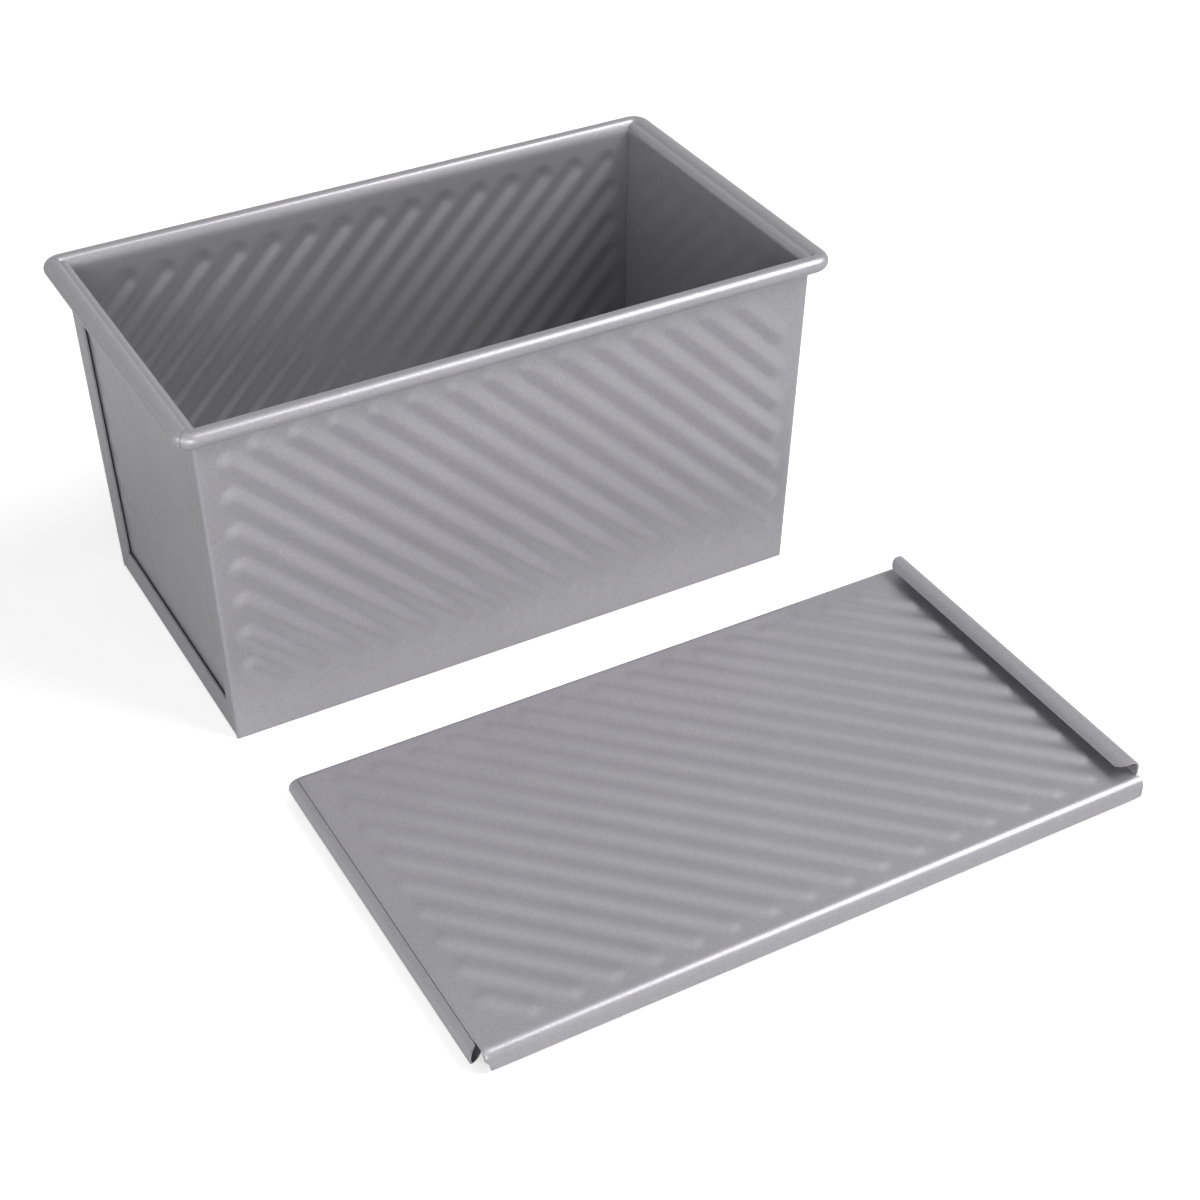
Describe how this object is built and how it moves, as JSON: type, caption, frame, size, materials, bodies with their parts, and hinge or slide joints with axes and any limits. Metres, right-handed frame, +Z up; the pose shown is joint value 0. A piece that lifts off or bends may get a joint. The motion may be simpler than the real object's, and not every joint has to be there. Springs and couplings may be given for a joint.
{
  "type": "pullman loaf pan",
  "caption": "Straight-sided loaf pan folded from ribbed coated sheet steel, with a wired rolled rim and a flat sliding lid lying in front of it.",
  "frame": {"origin": "middle of the pan's flat underside, where it stands on the table", "axes": "+X along the pan to its right end, +Y to the back, away from the lid, +Z up"},
  "size_m": [0.2312, 0.2695, 0.1156],
  "materials": {
    "pan_coat": "matt silver-grey non-stick coating with a fine metallic speckle",
    "lid_coat": "matt silver-grey non-stick coating with a fine metallic speckle",
    "wire_steel": "plain drawn wire"
  },
  "bodies": {
    "pan": {"body_sheet": "pan_coat", "end_wall_left": "pan_coat", "end_wall_right": "pan_coat", "rim_wire": "wire_steel"},
    "lid": {"lid": "lid_coat"}
  },
  "joints": [
    {"name": "lid_lift", "type": "slide", "parent": "pan", "child": "lid", "axis": [0, 0, 1], "range_m": [0, 0.13]}
  ]
}
